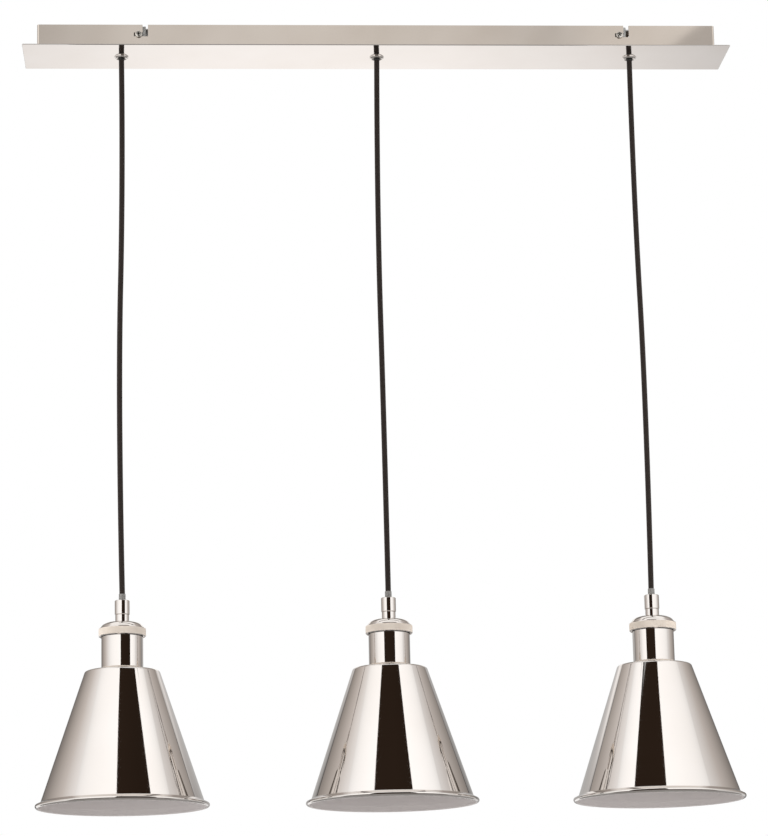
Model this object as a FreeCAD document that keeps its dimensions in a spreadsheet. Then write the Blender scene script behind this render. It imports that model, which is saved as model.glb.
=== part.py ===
import FreeCAD, Part
import math
import os
import re
import Sketcher

# Island pendant: a flat bar canopy on a ceiling bracket, with three cone shades in a row on cords.
# Frame: X along the row, Y front to back, Z up. The origin is on the ceiling, over the middle lamp.

driving_sizes = [
    # canopy
    ("bar_length", 800, "bottom plate, along the row"),
    ("bar_depth", 80, "bottom plate, front to back"),
    ("plate_sheet", 1.5, "thickness of the bottom plate"),
    ("box_length", 767, "canopy box, along the row"),
    ("box_depth", 66, "canopy box, front to back"),
    ("box_height", 25, "canopy box, ceiling to plate"),
    ("box_sheet", 1, "sheet of the canopy box"),
    ("box_corner", 2, "outer radius of the upright corners"),
    ("lamp_spacing", 290, "from lamp to lamp"),
    # ceiling bracket and its screws
    ("strap_end", 7, "ceiling strap, past the ears at each end"),
    ("strap_width", 40, "ceiling strap, front to back"),
    ("strap_sheet", 1.5, "sheet of the strap and its ears"),
    ("ear_width", 16, "ear that takes a side screw"),
    ("ear_drop", 17, "ear, from the ceiling down"),
    ("ear_inset", 5, "from the box wall's inner face to the ear"),
    ("fixing_spacing", 300, "between the two ceiling slots"),
    ("fixing_width", 5.5, "width of a ceiling slot"),
    ("fixing_length", 18, "whole length of a ceiling slot"),
    ("supply_hole", 20, "hole for the supply cable, across"),
    ("left_screw", 270, "from the middle to the left side screws"),
    ("right_screw", 275, "from the middle to the right side screws"),
    ("screw_drop", 11.5, "side screw, below the ceiling"),
    ("screw_thread", 4, "shank of a side screw, across"),
    ("screw_length", 12, "shank of a side screw, along"),
    ("screw_head", 8, "head of a side screw, across"),
    ("head_height", 2.4, "head of a side screw, along"),
    ("head_seat", 0.2, "from the loosened head to the box wall"),
    ("notch_width", 6, "upright part of the box's notch"),
    ("branch_height", 4.6, "level part of the box's notch"),
    ("branch_reach", 5.3, "level part, past the screw's centre"),
    ("lock_travel", 7.5, "slide that brings the notch to the screw"),
    # cord outlets
    ("eyelet_flange", 16, "flange under the plate, across"),
    ("eyelet_edge", 0.8, "straight edge of the flange"),
    ("eyelet_dome", 1.4, "domed part of the flange"),
    ("eyelet_lip", 10.4, "flat ring round the eyelet's mouth, across"),
    ("eyelet_thread", 10, "threaded tube, across"),
    ("eyelet_bore", 8, "bore of the threaded tube"),
    ("eyelet_rise", 6.5, "threaded tube, above the plate's underside"),
    ("nut_flats", 14, "hexagon nut, across flats"),
    ("nut_height", 3, "hexagon nut, along"),
    ("grip_diameter", 15, "cord grip, across"),
    ("grip_height", 6, "cord grip, along"),
    ("grip_screw", 3, "screw of a cord grip, across"),
    ("grip_screw_length", 6, "screw of a cord grip, along"),
    ("fit", 0.15, "radial clearance of pieces that pass through each other"),
    ("pivot_drop", 2, "swing centre, below the plate's underside"),
    ("bush_diameter", 7.2, "cord bush, across"),
    ("bush_height", 4.2, "cord bush, along"),
    ("bush_bevel", 1.2, "bevel of the cord bush"),
    # cords
    ("cord_diameter", 6.1, "three-core cord in its cloth sleeve"),
    ("cord_seat", 3.75, "hollow round end of the cord under the bush"),
    ("tail_rise", 4.3, "fixed cord, from the swing centre up to its end"),
    ("tail_level", 8, "fixed cord in the canopy, below the ceiling"),
    ("tail_bend", 6, "bend radius of the fixed cord"),
    ("core_diameter", 1.4, "single wire, over its sheath"),
    ("core_pitch", 1.6, "from wire to wire where the cord ends"),
    ("core_gap", 0.6, "from the end of a wire to the block"),
    # terminal block
    ("block_place", 145, "block's middle, along the row"),
    ("block_length", 20, "terminal block, along the row"),
    ("block_width", 36, "terminal block, front to back"),
    ("block_height", 20, "terminal block, up from the web"),
    ("pole_spacing", 12, "from pole to pole"),
    ("strip_length", 23, "bare run of the wires, from cord to block"),
    ("pole_screw", 3.4, "screw on the block, across"),
    ("pole_screw_height", 0.8, "screw on the block, proud of it"),
    ("earth_place", 186, "earth screw, along the row"),
    ("earth_side", 20, "earth screw, from the middle to the front"),
    ("earth_head", 7, "head of the earth screw, across"),
    ("earth_head_height", 2.4, "head of the earth screw, along"),
    ("earth_thread", 4, "shank of the earth screw, across"),
    ("lug_diameter", 9, "ring lug, across"),
    ("lug_sheet", 0.8, "ring lug, along"),
    # lamp, from the cord down
    ("lamp_drop", 643.1, "ceiling to the lower end of the cord"),
    ("collet_diameter", 7.4, "collet round the cord, across"),
    ("collet_rise", 7.2, "collet, above the clamp"),
    ("collet_depth", 4, "collet, inside the clamp"),
    ("clamp_diameter", 16.2, "upper half of the cord clamp, across"),
    ("clamp_height", 15.7, "upper half of the cord clamp, along"),
    ("clamp_bevel", 0.6, "bevel of the clamp's upper edge"),
    ("base_diameter", 15, "lower half of the cord clamp, across"),
    ("base_height", 6.2, "lower half of the cord clamp, along"),
    ("dome_radius", 38, "curve of the dome of the holder's cap"),
    ("dome_diameter", 45, "dome, across at its foot"),
    ("rim_diameter", 51.2, "milled rim of the cap, across"),
    ("rim_shoulder", 2, "sloped shoulder of the rim, along"),
    ("rim_height", 9.4, "rim, from shoulder to lower edge"),
    ("rim_bevel", 1, "bevel of the rim's lower edge"),
    ("skirt_diameter", 45.2, "sleeve of the holder, across"),
    ("skirt_wall", 1, "sheet of the sleeve"),
    ("skirt_length", 46.8, "sleeve, along"),
    ("foot_diameter", 44.4, "lower end of the sleeve, across"),
    ("foot_height", 3.6, "tapered end of the sleeve, along"),
    ("socket_diameter", 39, "lamp socket, across"),
    ("socket_length", 66.6, "lamp socket, along"),
    ("socket_depth", 25, "hollow of the socket, along"),
    ("shell_bore", 26.6, "bore of the screw shell, over its thread"),
    ("shell_wall", 0.8, "sheet of the screw shell"),
    ("shell_length", 22, "screw shell, along"),
    ("contact_diameter", 9, "centre contact, across"),
    ("contact_height", 2, "centre contact, along"),
    ("ring_diameter", 52, "ring under the shade's top, across"),
    ("ring_height", 6, "ring under the shade's top, along"),
    # shade
    ("shade_rise", 147.5, "shade, from its lowest edge to its flat top"),
    ("shade_wall", 1, "sheet of the shade"),
    ("top_diameter", 80.5, "sharp corner of the flat top, across"),
    ("top_corner", 3.4, "bevel round the flat top"),
    ("cone_diameter", 175.2, "wide end of the cone, across"),
    ("cone_foot", 6.6, "wide end of the cone, above the lowest edge"),
    ("edge_diameter", 187, "beaded edge, across"),
    ("bead_radius", 2.4, "rolled bead of the edge"),
]

# points of each free cord from the eyelet down: how far off the plumb line, how far below the ceiling
cord_routes = {
    "left": [(1.6, 170), (-4.4, 425)],
    "middle": [(-3.3, 205), (-0.5, 470)],
    "right": [(-1.2, 190), (3.0, 430)],
}
# where each fixed cord ends in the canopy: side of the block that it comes to, and place across it
tail_ends = {"left": (-1, 10), "middle": (-1, -10), "right": (1, 0)}

# Heights that several pieces share, as formulas: the top of the box's web, then depths below the ceiling.
web = "box_sheet - box_height"
clamp_top = "lamp_drop + collet_rise"
clamp_foot = f"{clamp_top} + clamp_height"
cap_top = f"{clamp_foot} + base_height"
mid_dome = "(dome_diameter + base_diameter) / 4"
dome_rise = "sqrt(dome_radius ^ 2 - (base_diameter / 2) ^ 2) - sqrt(dome_radius ^ 2 - (dome_diameter / 2) ^ 2)"
roof = f"{cap_top} + {dome_rise} + rim_shoulder"
shade_top = f"{roof} + skirt_length"
lamps = {"left": "-lamp_spacing", "middle": "0", "right": "lamp_spacing"}

doc = FreeCAD.newDocument("island_pendant")
sheet = doc.addObject("Spreadsheet::Sheet", "Sizes")
for line, (alias, number, note) in enumerate(driving_sizes, 1):
    sheet.set(f"A{line}", alias)
    sheet.set(f"B{line}", str(number))
    sheet.setAlias(f"B{line}", alias)
    sheet.set(f"C{line}", note)
doc.recompute()
aliases = {alias for alias, number, note in driving_sizes}
nodes = []


def size(alias):
    return float(sheet.get(alias))


# The formula with the name of each size pointing at its cell.
def bound(formula):
    def cell(word):
        return "Sizes." + word.group() if word.group() in aliases else word.group()
    return re.sub("[a-z_]+", cell, formula)


def tie(thing, **formulas):
    for name, formula in formulas.items():
        thing.setExpression(name, bound(formula))


def place(thing, x="0", y="0", z="0"):
    for axis, formula in (("x", x), ("y", y), ("z", z)):
        thing.setExpression(f"Placement.Base.{axis}", bound(formula))
    return thing


# Counts an object as a sub-part with a file of its own.
def node(thing):
    nodes.append(thing)
    return thing


def origin_plane(body, role):
    return next(each for each in body.Origin.OriginFeatures if each.Role == role)


# A closed outline of straight lines, each corner placed by two formulas.
def outline_sketch(body, role, corners, suffix="outline", offset="0"):
    sketch = body.newObject("Sketcher::SketchObject", f"{body.Label}_{suffix}")
    sketch.AttachmentSupport = (origin_plane(body, role), "")
    sketch.MapMode = "FlatFace"
    sketch.setExpression("AttachmentOffset.Base.z", bound(offset))
    count = len(corners)
    turns = [2 * math.pi * index / count for index in range(count + 1)]
    ring = [FreeCAD.Vector(10 * math.cos(turn), 10 * math.sin(turn), 0) for turn in turns]
    for start, end in zip(ring, ring[1:]):
        sketch.addGeometry(Part.LineSegment(start, end), False)
    for index in range(count):
        sketch.addConstraint(Sketcher.Constraint("Coincident", index, 2, (index + 1) % count, 1))
    for index, corner in enumerate(corners):
        for kind, axis_line, formula in zip(("DistanceX", "DistanceY"), (-2, -1), corner):
            if formula == "0":
                sketch.addConstraint(Sketcher.Constraint("PointOnObject", index, 1, axis_line))
            else:
                rule = sketch.addConstraint(Sketcher.Constraint(kind, -1, 1, index, 1, 10.0))
                sketch.setExpression(f"Constraints[{rule}]", bound(formula))
    return sketch


# Circles on an origin plane, each with formulas for its middle and its width.
def circle_sketch(body, role, circles, suffix):
    sketch = body.newObject("Sketcher::SketchObject", f"{body.Label}_{suffix}")
    sketch.AttachmentSupport = (origin_plane(body, role), "")
    sketch.MapMode = "FlatFace"
    for index, (x, y, width) in enumerate(circles):
        sketch.addGeometry(Part.Circle(FreeCAD.Vector(20 * index, 5, 0), FreeCAD.Vector(0, 0, 1), 2), False)
        for kind, axis_line, formula in (("DistanceX", -2, x), ("DistanceY", -1, y)):
            if formula == "0":
                sketch.addConstraint(Sketcher.Constraint("PointOnObject", index, 3, axis_line))
            else:
                rule = sketch.addConstraint(Sketcher.Constraint(kind, -1, 1, index, 3, 10.0))
                sketch.setExpression(f"Constraints[{rule}]", bound(formula))
        rule = sketch.addConstraint(Sketcher.Constraint("Diameter", index, 4.0))
        sketch.setExpression(f"Constraints[{rule}]", bound(width))
    return sketch


# The corners of a rectangle from four formulas.
def block(left, right, front, back):
    return [(left, front), (right, front), (right, back), (left, back)]


def pad(body, sketch, length, midplane=False):
    feature = body.newObject("PartDesign::Pad", f"{sketch.Label}_pad")
    feature.Profile = sketch
    feature.SideType = "Symmetric" if midplane else "One side"
    tie(feature, Length=length)
    return feature


# Cuts a sketch right through the body, both ways.
def pocket(body, sketch):
    feature = body.newObject("PartDesign::Pocket", f"{sketch.Label}_cut")
    feature.Profile = sketch
    feature.Type = "ThroughAll"
    feature.SideType = "Symmetric"
    return feature


# A body turned about its own upright axis, from radii and heights.
def turned(label, corners):
    body = doc.addObject("PartDesign::Body", label)
    sketch = outline_sketch(body, "XZ_Plane", corners)
    feature = body.newObject("PartDesign::Revolution", f"{label}_turned")
    feature.Profile = sketch
    feature.ReferenceAxis = (sketch, ["V_Axis"])
    feature.Angle = 360
    return body


def cylinder(label, width, length):
    thing = doc.addObject("Part::Cylinder", label)
    tie(thing, Radius=f"({width}) / 2", Height=length)
    return thing


# Like pieces that share one node as separate solids.
def group(label, things):
    thing = doc.addObject("Part::Compound", label)
    thing.Links = things
    return node(thing)


# The strap and its four ears are one bent sheet; the ears stand inside the box walls.
def ceiling_bracket():
    body = doc.addObject("PartDesign::Body", "ceiling_bracket")
    past_screw = "ear_width / 2 + strap_end"
    ends = (f"-(left_screw + {past_screw})", f"right_screw + {past_screw}")
    strap = block(*ends, "-strap_width / 2", "strap_width / 2")
    pad(body, outline_sketch(body, "XY_Plane", strap, "strap", "-strap_sheet"), "strap_sheet")
    face = "(box_depth / 2 - box_sheet - ear_inset)"
    bend = [(f"-{face}", "-ear_drop"), (f"-{face}", "0"), (face, "0"), (face, "-ear_drop"),
            (f"{face} - strap_sheet", "-ear_drop"), (f"{face} - strap_sheet", "-strap_sheet"),
            (f"strap_sheet - {face}", "-strap_sheet"), (f"strap_sheet - {face}", "-ear_drop")]
    for name, middle in (("left_ears", "-left_screw"), ("right_ears", "right_screw")):
        pad(body, outline_sketch(body, "YZ_Plane", bend, name, middle), "ear_width", midplane=True)
    width = "screw_thread + 2 * fit"
    holes = [("-left_screw", "-screw_drop", width), ("right_screw", "-screw_drop", width)]
    pocket(body, circle_sketch(body, "XZ_Plane", holes, "screw_holes"))
    slot_half = "(fixing_length - fixing_width) / 2"
    rounds = [("0", "0", "supply_hole")]
    for name, sign in (("left_slot", "-"), ("right_slot", "")):
        inner, outer = (f"{sign}(fixing_spacing / 2 {way} {slot_half})" for way in "-+")
        slot = block(inner, outer, "-fixing_width / 2", "fixing_width / 2")
        pocket(body, outline_sketch(body, "XY_Plane", slot, name))
        rounds += [(inner, "0", "fixing_width"), (outer, "0", "fixing_width")]
    pocket(body, circle_sketch(body, "XY_Plane", rounds, "round_holes"))
    return node(body)


def side_screws():
    corners = [("0", "0"), ("screw_head / 2", "0"), ("screw_head / 2", "head_height"),
               ("screw_thread / 2", "head_height"), ("screw_thread / 2", "head_height + screw_length"),
               ("0", "head_height + screw_length")]
    reach = "(box_depth / 2 + head_seat + head_height)"
    screws = []
    for side, along in (("left", "-left_screw"), ("right", "right_screw")):
        for way, sign, turn in (("front", "-", -90), ("back", "", 90)):
            screw = turned(f"{side}_{way}_screw", corners)
            screw.Placement.Rotation = FreeCAD.Rotation(FreeCAD.Vector(1, 0, 0), turn)
            screws.append(place(screw, along, f"{sign}{reach}", "-screw_drop"))
    return group("side_screws", screws)


# A tray of thin sheet, open to the ceiling, with L notches that drop over the side screws.
def canopy_box():
    body = doc.addObject("PartDesign::Body", "canopy_box")
    tray = block("-box_length / 2", "box_length / 2", "-box_depth / 2", "box_depth / 2")
    solid = pad(body, outline_sketch(body, "XY_Plane", tray, "tray", "-box_height"), "box_height")
    doc.recompute()
    upright = [f"Edge{index}" for index, edge in enumerate(solid.Shape.Edges, 1)
               if abs(edge.tangentAt(edge.FirstParameter).z) > 0.9]
    rounded = body.newObject("PartDesign::Fillet", "upright_corners")
    rounded.Base = (solid, upright)
    tie(rounded, Radius="box_corner")
    doc.recompute()
    top = max(range(len(rounded.Shape.Faces)), key=lambda index: rounded.Shape.Faces[index].CenterOfMass.z)
    shell = body.newObject("PartDesign::Thickness", "thin_sheet")
    shell.Base = (rounded, [f"Face{top + 1}"])
    shell.Reversed = True
    tie(shell, Value="box_sheet")
    floor, shelf = "-(screw_drop + branch_height / 2)", "-(screw_drop - branch_height / 2)"
    for name, screw in (("left_notch", "-left_screw"), ("right_notch", "right_screw")):
        left, right = (f"{screw} + lock_travel {way} notch_width / 2" for way in "-+")
        end = f"{screw} - branch_reach"
        notch = [(right, "box_sheet"), (right, floor), (end, floor), (end, shelf), (left, shelf), (left, "box_sheet")]
        pocket(body, outline_sketch(body, "XZ_Plane", notch, name))
    earth = ("earth_place", "-earth_side", "earth_thread + 2 * fit")
    pocket(body, circle_sketch(body, "XY_Plane", outlet_holes() + [earth], "web_holes"))
    return node(body)


def outlet_holes():
    return [(along, "0", "eyelet_thread + 2 * fit") for along in lamps.values()]


def canopy_plate():
    body = doc.addObject("PartDesign::Body", "canopy_plate")
    bar = block("-bar_length / 2", "bar_length / 2", "-bar_depth / 2", "bar_depth / 2")
    pad(body, outline_sketch(body, "XY_Plane", bar, "bar", "-(box_height + plate_sheet)"), "plate_sheet")
    pocket(body, circle_sketch(body, "XY_Plane", outlet_holes(), "outlet_holes"))
    return node(body)


# A flanged tube through plate and web at each outlet, with its nut on the web.
def cord_eyelets():
    mouth = "eyelet_dome + eyelet_edge"
    corners = [("eyelet_bore / 2", "0"), ("eyelet_lip / 2", "0"), ("eyelet_flange / 2", "eyelet_dome"),
               ("eyelet_flange / 2", mouth), ("eyelet_thread / 2", mouth),
               ("eyelet_thread / 2", f"{mouth} + eyelet_rise"), ("eyelet_bore / 2", f"{mouth} + eyelet_rise")]
    base = f"-(box_height + plate_sheet + {mouth})"
    return group("cord_eyelets", [place(turned(f"{side}_eyelet", corners), along, z=base)
                                  for side, along in lamps.items()])


def eyelet_nuts():
    nuts = []
    for side, along in lamps.items():
        hexagon = doc.addObject("Part::Prism", f"{side}_hexagon")
        hexagon.Polygon = 6
        tie(hexagon, Circumradius="nut_flats / (2 * cos(30 deg))", Height="nut_height")
        nut = doc.addObject("Part::Cut", f"{side}_nut")
        nut.Base = hexagon
        nut.Tool = cylinder(f"{side}_nut_bore", "eyelet_thread + 2 * fit", "nut_height")
        nuts.append(place(nut, along, z=web))
    return group("eyelet_nuts", nuts)


# Each grip sits on its eyelet's tube, and its screw holds the cord from the back.
def cord_grips():
    bore = "cord_diameter / 2 + fit"
    corners = [(bore, "0"), ("grip_diameter / 2", "0"), ("grip_diameter / 2", "grip_height"), (bore, "grip_height")]
    base = "eyelet_rise - box_height - plate_sheet"
    along_y = FreeCAD.Rotation(FreeCAD.Vector(1, 0, 0), -90)
    grips, screws = [], []
    for side, along in lamps.items():
        hole = cylinder(f"{side}_grip_hole", "grip_screw + 2 * fit", "grip_diameter")
        hole.Placement.Rotation = along_y
        place(hole, z="grip_height / 2")
        grip = doc.addObject("Part::Cut", f"{side}_grip")
        grip.Base = turned(f"{side}_grip_ring", corners)
        grip.Tool = hole
        grips.append(place(grip, along, z=base))
        screw = cylinder(f"{side}_grip_screw", "grip_screw", "grip_screw_length")
        screw.Placement.Rotation = along_y
        screws.append(place(screw, along, bore, f"{base} + grip_height / 2"))
    return group("cord_grips", grips), group("grip_screws", screws)


# The middle line through a list of points: straight runs joined by tangent arcs.
def bent_line(points, share=0.45, radius=None):
    edges, start, radii = [], points[0], []
    for before, corner, after in zip(points, points[1:], points[2:]):
        back, ahead = before - corner, after - corner
        half = (math.pi - back.getAngle(ahead)) / 2
        cut = radius * math.tan(half) if radius else share * min(back.Length, ahead.Length)
        radii.append(cut / math.tan(half))
        back.normalize()
        ahead.normalize()
        inward = back + ahead
        inward.normalize()
        crown = corner + inward * radii[-1] * (1 / math.cos(half) - 1)
        leave, join = corner + back * cut, corner + ahead * cut
        edges += [Part.LineSegment(start, leave).toShape(), Part.Arc(leave, crown, join).toShape()]
        start = join
    edges.append(Part.LineSegment(start, points[-1]).toShape())
    return Part.Wire(edges), radii


def tube(line, width):
    start = line.Edges[0]
    ring = Part.Circle(start.Vertexes[0].Point, start.tangentAt(start.FirstParameter), width / 2)
    return line.makePipeShell([Part.Wire([ring.toShape()])], True, False)


def shaped(label, shape):
    thing = doc.addObject("Part::Feature", label)
    thing.Shape = shape
    return node(thing)


def lamp_x(side):
    return {"left": -1, "middle": 0, "right": 1}[side] * size("lamp_spacing")


def pivot_z():
    return -(size("box_height") + size("plate_sheet") + size("pivot_drop"))


# Where a fixed cord ends and its wires begin, with the way towards the terminal block.
def tail_end(side):
    way, across = tail_ends[side]
    reach = size("block_length") / 2 + size("strip_length")
    return FreeCAD.Vector(size("block_place") + way * reach, across, -size("tail_level")), -way


def fixed_cords():
    tails = []
    for side in lamps:
        foot = FreeCAD.Vector(lamp_x(side), 0, pivot_z() + size("tail_rise"))
        corner = FreeCAD.Vector(foot.x, 0, -size("tail_level"))
        line, radii = bent_line([foot, corner, tail_end(side)[0]], radius=size("tail_bend"))
        tails.append(tube(line, size("cord_diameter")))
    return shaped("fixed_cords", Part.makeCompound(tails))


def wire(start, end):
    way = end - start
    return Part.makeCylinder(size("core_diameter") / 2, way.Length, start, way)


# Live, neutral and earth wires lie one under the other and never cross in their own layer.
def block_wires():
    gap, shift = size("core_gap"), size("core_diameter")
    shifts = {"left": shift, "middle": -shift, "right": 0}
    made = {}
    for pole, name in zip((1, 0, -1), ("live_wires", "neutral_wires", "earth_wires")):
        made[name] = []
        for side in lamps:
            end, way = tail_end(side)
            start = end + FreeCAD.Vector(way * gap, 0, pole * size("core_pitch"))
            entry = FreeCAD.Vector(start)
            entry.x = size("block_place") - way * (size("block_length") / 2 + gap)
            entry.y = pole * size("pole_spacing") + shifts[side]
            made[name].append(wire(start, entry))
    low = size("box_sheet") - size("box_height") + size("core_diameter") / 2 + size("fit")
    start = FreeCAD.Vector(size("block_place") + size("block_length") / 2 + gap, -size("pole_spacing"), low)
    end = FreeCAD.Vector(size("earth_place") - size("lug_diameter") / 2 - gap, -size("earth_side"), low)
    made["earth_wires"].append(wire(start, end))
    for name, wires in made.items():
        shaped(name, Part.makeCompound(wires))


def terminal_block():
    body = doc.addObject("Part::Box", "terminal_block")
    tie(body, Length="block_length", Width="block_width", Height="block_height")
    place(body, "block_place - block_length / 2", "-block_width / 2", web)
    node(body)
    screws = []
    for pole in ("-pole_spacing", "0", "pole_spacing"):
        for way in "-+":
            screw = cylinder("pole_screw", "pole_screw", "pole_screw_height")
            screws.append(place(screw, f"block_place {way} block_length / 4", pole, f"{web} + block_height"))
    group("terminal_screws", screws)


def earth_terminal():
    seat = "box_sheet + lug_sheet"
    corners = [("0", "0"), ("earth_thread / 2", "0"), ("earth_thread / 2", seat), ("earth_head / 2", seat),
               ("earth_head / 2", f"{seat} + earth_head_height"), ("0", f"{seat} + earth_head_height")]
    node(place(turned("earth_screw", corners), "earth_place", "-earth_side", "-box_height"))
    bore = "earth_thread / 2 + fit"
    corners = [(bore, "0"), ("lug_diameter / 2", "0"), ("lug_diameter / 2", "lug_sheet"), (bore, "lug_sheet")]
    node(place(turned("earth_lug", corners), "earth_place", "-earth_side", web))


def cord_bush(side, along):
    corners = [("0", "0"), ("bush_diameter / 2 - bush_bevel", "0"), ("bush_diameter / 2", "bush_bevel"),
               ("bush_diameter / 2", "bush_height - bush_bevel"),
               ("bush_diameter / 2 - bush_bevel", "bush_height"), ("0", "bush_height")]
    base = "-(box_height + plate_sheet + pivot_drop + bush_height / 2)"
    return node(place(turned(f"cord_bush_{side}", corners), along, z=base))


# The free cord: hollowed round at its top, to swing under the bush, and cut level at the collet.
def free_cord(side):
    top = FreeCAD.Vector(lamp_x(side), 0, pivot_z())
    foot = FreeCAD.Vector(top.x, 0, -size("lamp_drop"))
    points = [top] + [FreeCAD.Vector(top.x + off, 0, -drop) for off, drop in cord_routes[side]] + [foot]
    past = foot - points[-2]
    past.normalize()
    width = size("cord_diameter")
    line, radii = bent_line(points[:-1] + [foot + past * width])
    whole = tube(line, width)
    expected = line.Length * math.pi * width ** 2 / 4
    print(f"cord_{side}: radii {[round(radius) for radius in radii]} mm, "
          f"volume over section times length {whole.Volume / expected:.5f}, "
          f"length {line.Length - width - size('cord_seat'):.1f} mm")
    below = Part.makeBox(4 * width, 4 * width, 4 * width, foot - FreeCAD.Vector(2 * width, 2 * width, 4 * width))
    return shaped(f"cord_{side}", whole.cut(Part.makeSphere(size("cord_seat"), top)).cut(below))


def cord_clamp(side, along):
    collet = [("0", "0"), ("collet_diameter / 2", "0"), ("collet_diameter / 2", "collet_depth + collet_rise"),
              ("0", "collet_depth + collet_rise")]
    node(place(turned(f"clamp_collet_{side}", collet), along, z=f"-({clamp_top} + collet_depth)"))
    bore = "collet_diameter / 2 + fit"
    cap = [("0", "0"), ("clamp_diameter / 2", "0"), ("clamp_diameter / 2", "clamp_height - clamp_bevel"),
           ("clamp_diameter / 2 - clamp_bevel", "clamp_height"), (bore, "clamp_height"),
           (bore, "clamp_height - collet_depth"), ("0", "clamp_height - collet_depth")]
    node(place(turned(f"clamp_cap_{side}", cap), along, z=f"-({clamp_foot})"))
    base = [("0", "0"), ("base_diameter / 2", "0"), ("base_diameter / 2", "base_height"), ("0", "base_height")]
    node(place(turned(f"clamp_base_{side}", base), along, z=f"-({cap_top})"))


# A turned cap: dome, sloped shoulder and milled rim over a shallow pocket for the sleeve.
def holder_cap(side, along):
    inner = "skirt_diameter / 2 + fit"
    shoulder = "rim_height + rim_shoulder"
    crown = f"sqrt(dome_radius ^ 2 - ({mid_dome}) ^ 2) - sqrt(dome_radius ^ 2 - (dome_diameter / 2) ^ 2)"
    top = f"{shoulder} + {dome_rise}"
    corners = [(inner, "0"), ("rim_diameter / 2 - rim_bevel", "0"), ("rim_diameter / 2", "rim_bevel"),
               ("rim_diameter / 2", "rim_height"), ("dome_diameter / 2", shoulder),
               (mid_dome, f"{shoulder} + {crown}"), ("base_diameter / 2", top), ("0", top),
               ("0", "rim_height"), (inner, "rim_height")]
    return node(place(turned(f"holder_cap_{side}", corners), along, z=f"-({roof} + rim_height)"))


def holder_skirt(side, along):
    inner, outer = "skirt_diameter / 2 - skirt_wall", "skirt_diameter / 2"
    corners = [(inner, "0"), ("foot_diameter / 2", "0"), (outer, "foot_height"), (outer, "skirt_length"),
               (inner, "skirt_length")]
    return node(place(turned(f"holder_skirt_{side}", corners), along, z=f"-({shade_top})"))


def lamp_socket(side, along):
    bore, seat = "shell_bore / 2 + shell_wall + fit", "contact_diameter / 2 + fit"
    seat_top = "socket_depth + contact_height"
    corners = [(bore, "0"), ("socket_diameter / 2", "0"), ("socket_diameter / 2", "socket_length"),
               ("0", "socket_length"), ("0", seat_top), (seat, seat_top), (seat, "socket_depth"),
               (bore, "socket_depth")]
    base = f"-({roof} + socket_length)"
    node(place(turned(f"socket_body_{side}", corners), along, z=base))
    shell = [("shell_bore / 2", "0"), ("shell_bore / 2 + shell_wall", "0"),
             ("shell_bore / 2 + shell_wall", "shell_length"), ("shell_bore / 2", "shell_length")]
    node(place(turned(f"screw_shell_{side}", shell), along, z=f"{base} + socket_depth - shell_length"))
    contact = cylinder(f"centre_contact_{side}", "contact_diameter", "contact_height")
    node(place(contact, along, z=f"{base} + socket_depth"))


def shade_ring(side, along):
    inner = "socket_diameter / 2 + fit"
    corners = [(inner, "0"), ("ring_diameter / 2", "0"), ("ring_diameter / 2", "ring_height"), (inner, "ring_height")]
    return node(place(turned(f"shade_ring_{side}", corners), along, z=f"-({shade_top} + shade_wall + ring_height)"))


# Spun cone: flat top, bevelled corner, straight wall, then a short flare that ends in a rolled bead.
def shade(side, along):
    slope = "(cone_diameter - top_diameter) / 2 / (shade_rise - cone_foot)"
    wall = f"shade_wall * sqrt(1 + ({slope}) ^ 2)"
    corner = "top_diameter / 2 - top_corner"
    low = "top_corner + shade_wall / 2"
    bead = "edge_diameter / 2 - bead_radius"
    corners = [("socket_diameter / 2 + fit", "shade_rise"), (corner, "shade_rise"),
               (f"top_diameter / 2 + top_corner * {slope}", "shade_rise - top_corner"),
               ("cone_diameter / 2", "cone_foot"),
               (f"{bead} + bead_radius * sqrt(0.5)", "bead_radius * (1 + sqrt(0.5))"),
               ("edge_diameter / 2", "bead_radius"),
               (f"{bead} + bead_radius * sqrt(0.5)", "bead_radius * (1 - sqrt(0.5))"),
               (bead, "0"), (f"{bead} - bead_radius", "bead_radius"),
               (f"cone_diameter / 2 - {wall}", "cone_foot"),
               (f"top_diameter / 2 + ({low}) * {slope} - {wall}", f"shade_rise - {low}"),
               (corner, "shade_rise - shade_wall"), ("socket_diameter / 2 + fit", "shade_rise - shade_wall")]
    return node(place(turned(f"shade_{side}", corners), along, z=f"-({shade_top} + shade_rise)"))


ceiling_bracket()
side_screws()
canopy_box()
canopy_plate()
cord_eyelets()
eyelet_nuts()
cord_grips()
fixed_cords()
block_wires()
terminal_block()
earth_terminal()
for side, along in lamps.items():
    cord_bush(side, along)
    free_cord(side)
    cord_clamp(side, along)
    holder_cap(side, along)
    holder_skirt(side, along)
    lamp_socket(side, along)
    shade_ring(side, along)
    shade(side, along)
doc.recompute()

for thing in doc.Objects:
    if "Invalid" in thing.State or "Error" in thing.State:
        raise RuntimeError(f"{thing.Label} failed: {thing.State}")
os.makedirs("parts", exist_ok=True)
for thing in nodes:
    if thing.Shape.isNull() or not thing.Shape.isValid():
        raise RuntimeError(f"{thing.Label} has no valid shape")
    thing.Shape.exportStep(f"parts/{thing.Label}.step")
print(f"{len(nodes)} sub-parts written")
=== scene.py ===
import math

import bmesh
import bpy
from mathutils import Euler, Matrix, Vector


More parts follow.
